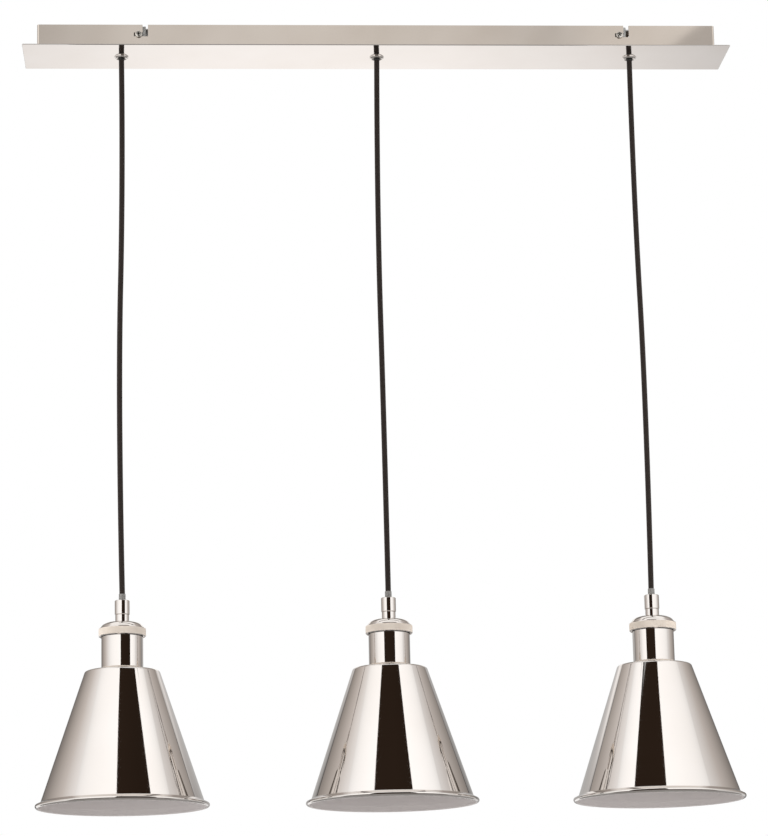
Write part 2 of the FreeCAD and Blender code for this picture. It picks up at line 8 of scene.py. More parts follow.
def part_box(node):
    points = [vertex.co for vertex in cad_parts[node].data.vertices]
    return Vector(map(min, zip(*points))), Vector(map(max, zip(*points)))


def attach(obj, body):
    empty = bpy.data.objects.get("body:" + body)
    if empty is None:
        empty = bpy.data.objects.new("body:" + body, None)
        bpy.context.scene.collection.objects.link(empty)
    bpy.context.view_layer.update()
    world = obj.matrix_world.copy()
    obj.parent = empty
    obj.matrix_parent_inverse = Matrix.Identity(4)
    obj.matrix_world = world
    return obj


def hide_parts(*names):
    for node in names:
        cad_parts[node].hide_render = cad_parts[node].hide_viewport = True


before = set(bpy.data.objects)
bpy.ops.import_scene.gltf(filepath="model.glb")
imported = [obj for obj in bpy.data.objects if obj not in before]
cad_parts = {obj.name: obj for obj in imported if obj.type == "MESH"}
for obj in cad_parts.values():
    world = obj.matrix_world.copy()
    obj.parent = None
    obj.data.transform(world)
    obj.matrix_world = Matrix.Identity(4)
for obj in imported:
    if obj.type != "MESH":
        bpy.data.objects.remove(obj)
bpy.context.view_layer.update()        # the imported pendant, with its bodies and nodes
mm = 0.001
fullTurn = 2 * math.pi
weldMm = 0.0005          # points nearer than this become one
pastMm = 5               # how far a cutter goes past the sheet that it cuts
sides = ("left", "middle", "right")
print("frame loaded:", len(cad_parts), "nodes")


# A node's lowest and highest corners, in millimetres. Shapes are drawn in them too, and meshOf makes
# them metres.
def spanOf(node):
    low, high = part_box(node)
    return Vector(low) / mm, Vector(high) / mm


def middleOf(node):
    low, high = spanOf(node)
    return (low + high) / 2


# the radius and the height of a round node
def roundSize(node):
    low, high = spanOf(node)
    return (high.x - low.x) / 2, high.z - low.z


def placeObject(name, data):
    thing = bpy.data.objects.new(name, data)
    bpy.context.scene.collection.objects.link(thing)
    return thing


# an outline of (radius, height) corners turned about the upright axis; a third number rounds its corner
def turnOutline(outline, steps=96, closed=True, segments=4):
    shape = bmesh.new()
    corners = [shape.verts.new((corner[0], 0, corner[1])) for corner in outline]
    pairs = list(zip(corners, corners[1:]))
    if closed:
        pairs.append((corners[-1], corners[0]))
    for pair in pairs:
        shape.edges.new(pair)
    rounded = [(point, corner[2]) for point, corner in zip(corners, outline) if len(corner) > 2]
    for point, radius in rounded:
        bmesh.ops.bevel(shape, geom=[point], offset=cutBack(point, radius), offset_type="OFFSET",
                        affect="VERTICES", segments=segments, profile=0.5, material=-1)
    bmesh.ops.spin(shape, geom=shape.verts[:] + shape.edges[:], cent=(0, 0, 0), axis=(0, 0, 1),
                   angle=fullTurn, steps=steps, use_merge=True)
    bmesh.ops.remove_doubles(shape, verts=shape.verts, dist=weldMm)
    return shape


# how far from its corner a round of that radius starts
def cutBack(point, radius):
    ends = [edge.other_vert(point).co - point.co for edge in point.link_edges]
    return radius / math.tan(ends[0].angle(ends[1]) / 2)


def boxShape(low, high):
    shape = bmesh.new()
    size = Vector(high) - Vector(low)
    bmesh.ops.create_cube(shape, size=1, matrix=Matrix.Diagonal((*size, 1)))
    bmesh.ops.translate(shape, verts=shape.verts, vec=(Vector(high) + Vector(low)) / 2)
    return shape


def rodShape(start, end, radius, steps=24):
    shape = bmesh.new()
    way = Vector(end) - Vector(start)
    turn = way.to_track_quat("Z", "Y").to_matrix().to_4x4()
    place = Matrix.Translation((Vector(start) + Vector(end)) / 2) @ turn
    bmesh.ops.create_cone(shape, cap_ends=True, segments=steps, radius1=radius, radius2=radius,
                          depth=way.length, matrix=place)
    return shape


def uprightEdges(shape):
    return [edge for edge in shape.edges if abs(edge.verts[0].co.z - edge.verts[1].co.z) > 1]


def edgesAtLevel(shape, level):
    return [edge for edge in shape.edges if all(abs(vert.co.z - level) < 0.01 for vert in edge.verts)]


def roundEdges(shape, edges, radius, segments=3):
    bmesh.ops.bevel(shape, geom=edges, offset=radius, offset_type="OFFSET", affect="EDGES",
                    segments=segments, profile=0.5, material=-1)


def meshOf(name, shape):
    bmesh.ops.scale(shape, vec=(mm, mm, mm), verts=shape.verts)
    mesh = bpy.data.meshes.new(name)
    shape.to_mesh(mesh)
    shape.free()
    return mesh


# shapes joined in one, each at its own place
def gather(shapesAndPlaces):
    whole = bmesh.new()
    for shape, place in shapesAndPlaces:
        bmesh.ops.transform(shape, matrix=place, verts=shape.verts)
        part = bpy.data.meshes.new("part")
        shape.to_mesh(part)
        shape.free()
        whole.from_mesh(part)
        bpy.data.meshes.remove(part)
    return whole


# takes the cutters' room out of a shape
def carve(shape, cutters):
    target = placeObject("target", meshOf("target", shape))
    tools = []
    for cutter in cutters:
        tool = placeObject("tool", meshOf("tool", cutter))
        modifier = target.modifiers.new("cut", "BOOLEAN")
        modifier.operation = "DIFFERENCE"
        modifier.solver = "EXACT"
        modifier.object = tool
        tools.append(tool)
    graph = bpy.context.evaluated_depsgraph_get()
    result = bpy.data.meshes.new_from_object(target.evaluated_get(graph))
    carved = bmesh.new()
    carved.from_mesh(result)
    bmesh.ops.scale(carved, vec=(1 / mm, 1 / mm, 1 / mm), verts=carved.verts)
    for thing in tools + [target]:
        bpy.data.objects.remove(thing)
    bpy.data.meshes.remove(result)
    return carved


# a shape becomes a piece of the scene, in place of its CAD node
def finishPiece(name, shape, body, finishNames, node, sharpDeg=32):
    bmesh.ops.recalc_face_normals(shape, faces=shape.faces)
    mesh = meshOf(name, shape)
    for finish in finishNames:
        mesh.materials.append(finishes[finish])
    mesh.shade_smooth()
    mesh.set_sharp_from_angle(angle=math.radians(sharpDeg))
    piece = placeObject(name, mesh)
    shading = piece.modifiers.new("flat faces shade flat", "WEIGHTED_NORMAL")
    shading.keep_sharp = True
    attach(piece, body)
    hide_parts(node)


# sRGB hex to the linear values that shaders take
def linear(colour):
    parts = [int(colour[place:place + 2], 16) / 255 for place in (1, 3, 5)]
    return [part / 12.92 if part <= 0.04045 else ((part + 0.055) / 1.055) ** 2.4 for part in parts] + [1]


# one node with its settings; an input takes a value or another node's output
def addNode(tree, kind, inputs=None, **settings):
    node = tree.nodes.new(kind)
    for name, value in settings.items():
        setattr(node, name, value)
    for name, value in (inputs or {}).items():
        if isinstance(value, bpy.types.NodeSocket):
            tree.links.new(value, node.inputs[name])
        else:
            node.inputs[name].default_value = value
    return node


def emptyMaterial(name):
    material = bpy.data.materials.new(name)
    material.use_nodes = True
    material.node_tree.nodes.clear()
    return material, material.node_tree


# noise stretched along one axis or none; grainMm is the grain's width along X, Y and Z
def grainPattern(tree, grainMm, detail=3, roughness=0.6):
    place = addNode(tree, "ShaderNodeTexCoord")
    stretch = addNode(tree, "ShaderNodeMapping", {
        "Vector": place.outputs["Object"], "Scale": [1 / (width * mm) for width in grainMm]})
    return addNode(tree, "ShaderNodeTexNoise", {
        "Vector": stretch.outputs["Vector"], "Scale": 1.0, "Detail": detail, "Roughness": roughness})


noiseSpan = {"From Min": 0.3, "From Max": 0.7}        # most of a noise lies between these


# a metal's colour drifts a little, and its gloss and surface follow the grain left by the work
def metalFinish(name, colours, grainMm, gloss, bumpMm, driftMm=90, metallic=1.0):
    material, tree = emptyMaterial(name)
    drift = grainPattern(tree, (driftMm, driftMm, driftMm), detail=2)
    grain = grainPattern(tree, grainMm)
    tint = addNode(tree, "ShaderNodeMapRange", {
        "Value": drift.outputs["Fac"], **noiseSpan, "To Min": 0, "To Max": 1})
    colour = addNode(tree, "ShaderNodeMix", {
        "Factor": tint.outputs["Result"], 6: linear(colours[0]), 7: linear(colours[1])}, data_type="RGBA")
    shine = addNode(tree, "ShaderNodeMapRange", {
        "Value": grain.outputs["Fac"], **noiseSpan, "To Min": gloss[0], "To Max": gloss[1]})
    bump = addNode(tree, "ShaderNodeBump", {
        "Height": grain.outputs["Fac"], "Strength": 1.0, "Distance": bumpMm * mm})
    shader = addNode(tree, "ShaderNodeBsdfPrincipled", {
        "Base Color": colour.outputs[2], "Metallic": metallic, "Roughness": shine.outputs["Result"],
        "Normal": bump.outputs["Normal"]})
    addNode(tree, "ShaderNodeOutputMaterial", {"Surface": shader.outputs["BSDF"]})
    return material


# moulded plastic or paint: an even colour with the fine skin of the mould or spray
def mouldedFinish(name, colours, skinMm, gloss, bumpMm, more=None):
    material, tree = emptyMaterial(name)
    skin = grainPattern(tree, (skinMm, skinMm, skinMm))
    colour = addNode(tree, "ShaderNodeMix", {
        "Factor": skin.outputs["Fac"], 6: linear(colours[0]), 7: linear(colours[1])}, data_type="RGBA")
    shine = addNode(tree, "ShaderNodeMapRange", {
        "Value": skin.outputs["Fac"], **noiseSpan, "To Min": gloss[0], "To Max": gloss[1]})
    bump = addNode(tree, "ShaderNodeBump", {
        "Height": skin.outputs["Fac"], "Strength": 1.0, "Distance": bumpMm * mm})
    shader = addNode(tree, "ShaderNodeBsdfPrincipled", {
        "Base Color": colour.outputs[2], "Roughness": shine.outputs["Result"],
        "Normal": bump.outputs["Normal"], **(more or {})})
    addNode(tree, "ShaderNodeOutputMaterial", {"Surface": shader.outputs["BSDF"]})
    return material


# dark is painted shade in the weave's valleys and light is painted light on its crests, both on one black
# yarn
clothCord = {"diameterMm": 6.1, "lengthMm": 610.9, "dark": "#1A1411", "light": "#4A3C34",
             "yarnMm": 1.3, "yarnsRound": 14, "weaveDepthMm": 0.12, "fibreMm": (0.15, 0.15, 0.6),
             "valleyRoughness": 0.92, "crestRoughness": 0.75}


# Woven cotton sleeve: two sets of yarns cross on the slant round the cord. The eye gets a matt black
# with a fine diamond weave, its valleys painted darker as shade and its crests painted lighter. The yarns
# are drawn 1.3 mm wide, a little coarser than real ones.
def wovenCotton():
    material, tree = emptyMaterial("woven cotton sleeve, black")
    place = addNode(tree, "ShaderNodeTexCoord")
    parts = addNode(tree, "ShaderNodeSeparateXYZ", {"Vector": place.outputs["UV"]})
    turnsAlong = clothCord["lengthMm"] / (clothCord["yarnMm"] * 2)
    along = addNode(tree, "ShaderNodeMath", {
        0: parts.outputs["X"], 1: turnsAlong * fullTurn}, operation="MULTIPLY")
    around = addNode(tree, "ShaderNodeMath", {
        0: parts.outputs["Y"], 1: clothCord["yarnsRound"] * fullTurn}, operation="MULTIPLY")
    waves = []
    for way in ("ADD", "SUBTRACT"):
        phase = addNode(tree, "ShaderNodeMath", {0: along.outputs[0], 1: around.outputs[0]}, operation=way)
        waves.append(addNode(tree, "ShaderNodeMath", {0: phase.outputs[0]}, operation="SINE"))
    weave = addNode(tree, "ShaderNodeMath", {
        0: waves[0].outputs[0], 1: waves[1].outputs[0]}, operation="MULTIPLY")
    lift = addNode(tree, "ShaderNodeMapRange", {
        "Value": weave.outputs[0], "From Min": -1, "From Max": 1, "To Min": 0, "To Max": 1})
    fibre = grainPattern(tree, clothCord["fibreMm"])
    height = addNode(tree, "ShaderNodeMath", {
        0: lift.outputs["Result"], 1: fibre.outputs["Fac"]}, operation="MULTIPLY")
    # painted shade and light: the weave's valleys are darker and its crests lighter, with the fibres' own
    # random tone mixed in
    colour = addNode(tree, "ShaderNodeMix", {
        "Factor": height.outputs[0], 6: linear(clothCord["dark"]), 7: linear(clothCord["light"])},
        data_type="RGBA")
    shine = addNode(tree, "ShaderNodeMapRange", {
        "Value": lift.outputs["Result"], "From Min": 0, "From Max": 1,
        "To Min": clothCord["valleyRoughness"], "To Max": clothCord["crestRoughness"]})
    bump = addNode(tree, "ShaderNodeBump", {
        "Height": height.outputs[0], "Strength": 0.8, "Distance": clothCord["weaveDepthMm"] * mm})
    shader = addNode(tree, "ShaderNodeBsdfPrincipled", {
        "Base Color": colour.outputs[2], "Roughness": shine.outputs["Result"],
        "Normal": bump.outputs["Normal"], "Specular IOR Level": 0.25,
        "Sheen Weight": 0.25, "Sheen Roughness": 0.5})
    addNode(tree, "ShaderNodeOutputMaterial", {"Surface": shader.outputs["BSDF"]})
    return material


earthSheath = {"green": "#3E7D2A", "yellow": "#D9C22E", "stripeMm": (400, 1.1, 1.1), "roughness": 0.36}


# Extruded PVC sheath of the earth wires: the eye gets a waxy green with a yellow stripe along each.
def stripedSheath():
    material, tree = emptyMaterial("PVC, extruded green and yellow")
    stripe = grainPattern(tree, earthSheath["stripeMm"], detail=0)
    edge = addNode(tree, "ShaderNodeMapRange", {
        "Value": stripe.outputs["Fac"], "From Min": 0.49, "From Max": 0.51, "To Min": 0, "To Max": 1})
    colour = addNode(tree, "ShaderNodeMix", {
        "Factor": edge.outputs["Result"], 6: linear(earthSheath["green"]),
        7: linear(earthSheath["yellow"])}, data_type="RGBA")
    bump = addNode(tree, "ShaderNodeBump", {
        "Height": stripe.outputs["Fac"], "Strength": 0.3, "Distance": 0.004 * mm})
    shader = addNode(tree, "ShaderNodeBsdfPrincipled", {
        "Base Color": colour.outputs[2], "Roughness": earthSheath["roughness"],
        "Normal": bump.outputs["Normal"]})
    addNode(tree, "ShaderNodeOutputMaterial", {"Surface": shader.outputs["BSDF"]})
    return material


# A metal has its two colours, the grain's width along X, Y and Z, its roughness from and to, the depth
# of the grain and, where it is cloudy, the width of the clouds. A plastic has one width for its skin.
# Brushed lines, spun rings and skins are drawn coarser than real ones, which would be too fine to show.
finishes = {
    # Polished nickel plate: buffed to a warm mirror, with the faint rings left by spinning.
    "polishedNickel": metalFinish("polished nickel plate, buffed", ("#DAD5D1", "#D6D0CB"),
                                  (60, 60, 1.2), (0.03, 0.07), 0.00012),
    # Milled nickel plate: its fine ridges throw the light back every way, so the rim looks pale and matt.
    "milledNickel": metalFinish("nickel plate, milled", ("#FBF2E8", "#F1E4D6"),
                                (0.8, 0.8, 12), (0.58, 0.7), 0.003, metallic=0.5),
    # Satin nickel plate: brushed along the bar, so that it glows softly and shows long fine lines.
    "satinNickel": metalFinish("satin nickel plate, brushed", ("#CFC5BB", "#C5BAAF"),
                               (160, 0.5, 0.5), (0.06, 0.1), 0.0005),
    # Zinc-plated steel: grey and cloudy, straight from the press.
    "zincSteel": metalFinish("zinc-plated steel, pressed", ("#C9C8C5", "#B9B8B5"),
                             (6, 6, 6), (0.3, 0.48), 0.004, 14),
    # Nickel-plated steel screws: a soft shine with small clouds, duller than the buffed plate.
    "nickelScrew": metalFinish("nickel-plated steel, headed", ("#C9C4BD", "#B9B4AC"),
                               (2, 2, 2), (0.16, 0.26), 0.002, 8),
    # Turned brass: warm yellow, with the fine rings of the lathe.
    "turnedBrass": metalFinish("brass, turned", ("#D9B56A", "#C79F52"),
                               (8, 8, 0.4), (0.2, 0.34), 0.002, 20),
    # Black nylon: dark and half matt, so that the bush reads as a shadow under the eyelet.
    "blackNylon": mouldedFinish("nylon, moulded black", ("#151514", "#1E1D1C"), 0.4, (0.42, 0.55), 0.01),
    # White nylon: off-white and half matt, with the faint skin of the mould.
    "whiteNylon": mouldedFinish("nylon, moulded white", ("#E4E1DA", "#DCD8D0"), 0.6, (0.38, 0.5), 0.008),
    # Natural nylon: grey and a little see-through, softer at its edges than the metal below it.
    "clearNylon": mouldedFinish("nylon, moulded natural", ("#A9A7A3", "#95938F"), 0.8, (0.3, 0.42), 0.008,
                                {"Transmission Weight": 0.25, "IOR": 1.53}),
    # Phenolic moulding: near black, with more gloss than the nylon.
    "blackPhenolic": mouldedFinish("phenolic, moulded black", ("#121110", "#1B1A18"),
                                   1.5, (0.22, 0.34), 0.006),
    # Stoved matt paint: an even white with a fine spray skin, which spreads the light in the shades.
    "whitePaint": mouldedFinish("stoved paint, matt white", ("#D0CAC9", "#C7C1C0"),
                                0.7, (0.5, 0.65), 0.012),
    # Extruded PVC sheaths: smooth and waxy, in the brown and blue of house wiring.
    "brownSheath": mouldedFinish("PVC, extruded brown", ("#5A2F18", "#4B2612"), 1.0, (0.3, 0.42), 0.006),
    "blueSheath": mouldedFinish("PVC, extruded blue", ("#1F4E9A", "#1A4284"), 1.0, (0.3, 0.42), 0.006),
    "stripedSheath": stripedSheath(),
    "cottonSleeve": wovenCotton(),
}
print("materials made:", len(finishes))

# CAD nodes whose shapes stay, with their finishes
keptNodes = {
    "zincSteel": ["ceiling_bracket", "eyelet_nuts", "grip_screws", "terminal_screws"],
    "whiteNylon": ["cord_grips", "terminal_block"],
    "cottonSleeve": ["fixed_cords"],
    "brownSheath": ["live_wires"],
    "blueSheath": ["neutral_wires"],
    "stripedSheath": ["earth_wires"],
    "turnedBrass": ["earth_screw", "earth_lug"],
}
for finish, names in keptNodes.items():
    for name in names:
        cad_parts[name].data.materials.clear()
        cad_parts[name].data.materials.append(finishes[finish])

# drop is from the ceiling to the side screws; earth is the hole's X, Y and width
canopyBox = {"sheetMm": 1.0, "cornerMm": 2.0, "bendMm": 1.2, "notchMm": 6.0, "branchMm": 4.6,
             "reachMm": 5.3, "travelMm": 7.5, "leftScrewMm": -270.0, "rightScrewMm": 275.0,
             "dropMm": 11.5, "outletMm": 10.3, "earthMm": (186, -20, 4.3)}


# folded sheet, open at the top; each L-shaped notch passes over a side screw and then along it
def makeCanopyBox():
    low, high = spanOf("canopy_box")
    shape = boxShape(low, high)
    top = [face for face in shape.faces if face.normal.z > 0.9]
    bmesh.ops.delete(shape, geom=top, context="FACES_ONLY")
    roundEdges(shape, uprightEdges(shape), canopyBox["cornerMm"])
    roundEdges(shape, edgesAtLevel(shape, low.z), canopyBox["bendMm"])
    bmesh.ops.recalc_face_normals(shape, faces=shape.faces)
    bmesh.ops.solidify(shape, geom=shape.faces[:], thickness=canopyBox["sheetMm"])
    front, back = low.y - pastMm, high.y + pastMm
    half = canopyBox["notchMm"] / 2
    slotFloor = -(canopyBox["dropMm"] + canopyBox["branchMm"] / 2)
    slotTop = slotFloor + canopyBox["branchMm"]
    cutters = []
    for along in (canopyBox["leftScrewMm"], canopyBox["rightScrewMm"]):
        slot = along + canopyBox["travelMm"]
        cutters.append(boxShape((slot - half, front, slotFloor), (slot + half, back, pastMm)))
        cutters.append(boxShape((along - canopyBox["reachMm"], front, slotFloor), (slot, back, slotTop)))
    holes = [(middleOf(f"cord_bush_{side}").x, 0, canopyBox["outletMm"]) for side in sides]
    for x, y, width in holes + [canopyBox["earthMm"]]:
        cutters.append(rodShape((x, y, low.z - pastMm), (x, y, low.z + pastMm), width / 2))
    finishPiece("canopy_box_sheet", carve(shape, cutters), "canopy", ["satinNickel"],
                "canopy_box")


canopyPlate = {"edgeMm": 0.3, "topEdgeMm": 1.0, "outletMm": 10.3}


def makeCanopyPlate():
    low, high = spanOf("canopy_plate")
    shape = boxShape(low, high)
    roundEdges(shape, uprightEdges(shape), canopyPlate["topEdgeMm"])
    roundEdges(shape, edgesAtLevel(shape, high.z), canopyPlate["topEdgeMm"])
    roundEdges(shape, edgesAtLevel(shape, low.z), canopyPlate["edgeMm"])
    cutters = []
    for side in sides:
        along = middleOf(f"cord_bush_{side}").x
        cutters.append(rodShape((along, 0, low.z - pastMm), (along, 0, high.z + pastMm),
                                canopyPlate["outletMm"] / 2, 48))
    finishPiece("canopy_plate_bar", carve(shape, cutters), "canopy",
                ["polishedNickel"], "canopy_plate")


# radii of the bore, lip, flange and thread; heights of the funnel, the flange's edge and back, the end
eyelet = {"boreMm": 4.0, "lipMm": 6.2, "flangeMm": 8.0, "threadMm": 5.0, "funnelMm": 2.0, "domeMm": 1.4,
          "edgeMm": 2.2, "lengthMm": 8.7, "throatRoundMm": 0.6, "lipRoundMm": 0.4, "rimRoundMm": 0.5,
          "endRoundMm": 0.4}


def makeEyelets():
    facts = eyelet
    outline = [(facts["boreMm"], facts["funnelMm"], facts["throatRoundMm"]),
               (facts["lipMm"], 0, facts["lipRoundMm"]),
               (facts["flangeMm"], facts["domeMm"], facts["rimRoundMm"]),
               (facts["flangeMm"], facts["edgeMm"]), (facts["threadMm"], facts["edgeMm"]),
               (facts["threadMm"], facts["lengthMm"], facts["endRoundMm"]),
               (facts["boreMm"], facts["lengthMm"])]
    base = spanOf("cord_eyelets")[0].z
    places = [Matrix.Translation((middleOf(f"cord_bush_{side}").x, 0, base)) for side in sides]
    whole = gather([(turnOutline(outline, 64), place) for place in places])
    finishPiece("outlet_eyelets", whole, "canopy", ["polishedNickel"], "cord_eyelets")


# head, thread and core are diameters; each screw stops at its own angle, by where it is on the bar
sideScrew = {"headMm": 8.0, "headHeightMm": 2.4, "crownMm": 1.1, "crownInMm": 1.2, "crownDropMm": 0.15,
             "crownRoundMm": 2.0, "rimRoundMm": 0.6, "seatRoundMm": 0.15, "recessMm": 4.4, "slotMm": 1.0,
             "depthMm": 0.6, "threadMm": 4.0, "coreMm": 3.3, "pitchMm": 0.7, "lengthMm": 12.0,
             "overMm": 1, "reliefMm": 0.4, "plainMm": 1.0, "tipInMm": 0.5, "tipMm": 0.3, "turnDeg": 24,
             "mmPerDeg": 9}


# pan head with a cross recess, on a shank with rolled thread rings
def makeSideScrews():
    facts = sideScrew
    crown = facts["headHeightMm"]
    head, thread, core = facts["headMm"] / 2, facts["threadMm"] / 2, facts["coreMm"] / 2
    end = crown + facts["lengthMm"]
    outline = [(0, 0), (head - facts["crownInMm"], facts["crownDropMm"], facts["crownRoundMm"]),
               (head, facts["crownMm"], facts["rimRoundMm"]), (head, crown, facts["seatRoundMm"]),
               (thread, crown)]
    for ring in range(int((facts["lengthMm"] - facts["plainMm"]) / facts["pitchMm"])):
        start = crown + facts["reliefMm"] + ring * facts["pitchMm"]
        outline += [(core, start), (thread, start + facts["pitchMm"] / 2)]
    outline += [(core, end - facts["tipMm"]), (core - facts["tipInMm"], end), (0, end)]
    reach, half = facts["recessMm"] / 2, facts["slotMm"] / 2
    over, depth = -facts["overMm"], facts["depthMm"]
    low, high = spanOf("side_screws")
    screws = []
    for along in (canopyBox["leftScrewMm"], canopyBox["rightScrewMm"]):
        angle = math.radians(facts["turnDeg"] + along / facts["mmPerDeg"])
        for way, face in ((-1, low.y), (1, high.y)):
            slots = [boxShape((-reach, -half, over), (reach, half, depth)),
                     boxShape((-half, -reach, over), (half, reach, depth))]
            screw = carve(turnOutline(outline, 40, closed=False), slots)
            bmesh.ops.rotate(screw, verts=screw.verts, cent=(0, 0, 0), matrix=Matrix.Rotation(angle, 3, "Z"))
            lie = Matrix.Rotation(math.radians(90 * way), 4, "X")
            screws.append((screw, Matrix.Translation((along, face, -canopyBox["dropMm"])) @ lie))
    finishPiece("bracket_side_screws", gather(screws), "bracket", ["nickelScrew"],
                "side_screws")


makeCanopyBox()
makeCanopyPlate()
makeEyelets()
makeSideScrews()
print("canopy made")

# the cords' routes of the CAD model, in metres, from the swing centre to the collet
cordRoutes = {
    "left": [(-0.290, 0, -0.0285), (-0.2884, 0, -0.170), (-0.2944, 0, -0.425), (-0.290, 0, -0.6431)],
    "middle": [(0, 0, -0.0285), (-0.0033, 0, -0.205), (-0.0005, 0, -0.470), (0, 0, -0.6431)],
    "right": [(0.290, 0, -0.0285), (0.2888, 0, -0.190), (0.293, 0, -0.430), (0.290, 0, -0.6431)],
}


def makeCord(side):
    line = bpy.data.curves.new(f"hanging_cord_{side}", "CURVE")
    line.dimensions = "3D"
    line.resolution_u = 24
    line.bevel_depth = clothCord["diameterMm"] / 2 * mm
    line.bevel_resolution = 8
    line.use_fill_caps = True
    spline = line.splines.new("NURBS")
    route = cordRoutes[side]
    spline.points.add(len(route) - 1)
    for point, place in zip(spline.points, route):
        point.co = (*place, 1)
    spline.order_u = 3
    spline.use_endpoint_u = True
    line.materials.append(finishes["cottonSleeve"])
    cord = placeObject(f"hanging_cord_{side}", line)
    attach(cord, f"pendant_{side}")
    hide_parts(f"cord_{side}")


# a shape drawn about the lamp's own axis goes where its CAD node is
def lampPiece(name, node, side, shape, finishNames, body="pendant", sharpDeg=32):
    foot = spanOf(f"{node}_{side}")[0].z
    bmesh.ops.translate(shape, verts=shape.verts, vec=(middleOf(f"cord_bush_{side}").x, 0, foot))
    finishPiece(f"{name}_{side}", shape, f"{body}_{side}", finishNames, f"{node}_{side}", sharpDeg)


bush = {"footInMm": 0.5, "footMm": 1.0, "taperMm": 1.2, "sideRoundMm": 0.6, "footRoundMm": 0.3,
        "topRoundMm": 0.4}


def makeBush(side):
    radius, height = roundSize(f"cord_bush_{side}")
    outline = [(0, 0), (radius - bush["footInMm"], 0, bush["footRoundMm"]),
               (radius, bush["footMm"], bush["sideRoundMm"]),
               (radius, height - bush["taperMm"], bush["sideRoundMm"]),
               (radius - bush["taperMm"], height, bush["topRoundMm"]), (0, height)]
    lampPiece("eyelet_bush", "cord_bush", side, turnOutline(outline, 48, closed=False),
              ["blackNylon"], body="bush")


collet = {"edgeMm": 0.5, "lipMm": 0.3, "dishMm": 0.4}
clamp = {"edgeMm": 0.7, "seamMm": 0.5, "clearMm": 0.15, "boreRoundMm": 0.3, "boreDepthMm": 4,
         "baseEdgeMm": 0.3}


# the clear collet round the cord, the cap that tightens it, and the base on the holder's dome
def makeClamp(side):
    radius, height = roundSize(f"clamp_collet_{side}")
    outline = [(0, 0), (radius, 0), (radius, height, collet["edgeMm"]), (radius - collet["lipMm"], height),
               (0, height - collet["dishMm"])]
    lampPiece("cord_collet", "clamp_collet", side, turnOutline(outline, 40, closed=False),
              ["clearNylon"])
    bore = radius + clamp["clearMm"]
    outer, top = roundSize(f"clamp_cap_{side}")
    bottom = top - clamp["boreDepthMm"]
    outline = [(0, 0), (outer - clamp["seamMm"], 0), (outer, clamp["seamMm"]),
               (outer, top, clamp["edgeMm"]), (bore, top, clamp["boreRoundMm"]), (bore, bottom), (0, bottom)]
    lampPiece("cord_clamp_cap", "clamp_cap", side, turnOutline(outline, 72, closed=False),
              ["polishedNickel"])
    outer, top = roundSize(f"clamp_base_{side}")
    domeTop = spanOf(f"holder_cap_{side}")[0].z + holder["rimMm"] + holder["domeMm"][0][1]
    seat = domeTop - spanOf(f"clamp_base_{side}")[0].z
    outline = [(0, seat), (outer, seat), (outer, top - clamp["baseEdgeMm"]),
               (outer - clamp["baseEdgeMm"], top), (0, top)]
    lampPiece("cord_clamp_base", "clamp_base", side, turnOutline(outline, 72, closed=False),
              ["polishedNickel"])


# the dome's corners are a radius and a rise above the milled rim
holder = {"domeMm": [(7.5, 7.2), (10, 7.06), (12.5, 6.78), (15, 6.33), (17, 5.78), (19, 5.02),
                     (20.7, 4.05), (22, 2.9), (23, 1.5), (23.6, 0.5)],
          "shoulderMm": 23.9, "rimMm": 9.4, "rimEdgeMm": 0.9, "rimFootMm": 0.8, "rimBandMm": 0.5,
          "ridges": 132, "ridgeMm": 0.27, "recessMm": 24.3, "recessDepthMm": 1.6, "sleeveMm": 22.75,
          "sheetMm": 1.0, "footMm": 3.6, "footInMm": 0.4, "footRoundMm": 0.1, "bendMm": 0.5}


# dome, shoulder and milled rim; the ridges are pressed into the rim's face
def makeHolderCap(side):
    outer = roundSize(f"holder_cap_{side}")[0]
    rim, edge, foot = holder["rimMm"], holder["rimEdgeMm"], holder["rimFootMm"]
    recess, depth, sleeve = holder["recessMm"], holder["recessDepthMm"], holder["sleeveMm"]
    dome = [(across, rim + rise) for across, rise in holder["domeMm"]]
    outline = [(0, dome[0][1])] + dome + [
        (holder["shoulderMm"], rim), (outer - edge, rim), (outer, rim - edge), (outer, foot),
        (outer - foot, 0), (recess, 0), (recess, depth), (sleeve, depth), (sleeve, rim), (0, rim)]
    shape = turnOutline(outline, holder["ridges"] * 2, closed=False)
    band = outer - holder["rimBandMm"]        # only the rim's face is outside this radius
    for vert in shape.verts:
        turn = math.atan2(vert.co.y, vert.co.x) / fullTurn * holder["ridges"] * 2
        if math.hypot(vert.co.x, vert.co.y) > band and round(turn) % 2:
            vert.co.xy *= 1 - holder["ridgeMm"] / outer
    for face in shape.faces:
        middle = face.calc_center_median()
        if math.hypot(middle.x, middle.y) > band and foot < middle.z < rim - edge:
            face.material_index = 1
    lampPiece("holder_dome", "holder_cap", side, shape,
              ["polishedNickel", "milledNickel"])


# a thin tube that draws in a little at its foot, where it is matt
def makeHolderSleeve(side):
    outer, top = roundSize(f"holder_skirt_{side}")
    inner = outer - holder["sheetMm"]
    outline = [(inner, 0), (outer - holder["footInMm"], 0, holder["footRoundMm"]),
               (outer, holder["footMm"], holder["bendMm"]), (outer, top), (inner, top)]
    shape = turnOutline(outline, 128)
    for face in shape.faces:
        if face.calc_center_median().z < holder["footMm"] - holder["bendMm"]:
            face.material_index = 1
    lampPiece("holder_sleeve", "holder_skirt", side, shape,
              ["polishedNickel", "milledNickel"])


socket = {"mouthMm": 14.25, "depthMm": 25.0, "wellMm": 4.65, "wellDepthMm": 2, "mouthRoundMm": 0.5,
          "footRoundMm": 0.8}
shell = {"wallMm": 0.35, "threadMm": 0.55, "pitchMm": 3.6, "turns": 5, "waveSteps": 10, "roundSteps": 72,
         "weldMm": 0.01, "sharpDeg": 60}
contact = {"sideMm": 0.8, "sideRoundMm": 0.4, "crownMm": 2.2, "crownRoundMm": 0.8}


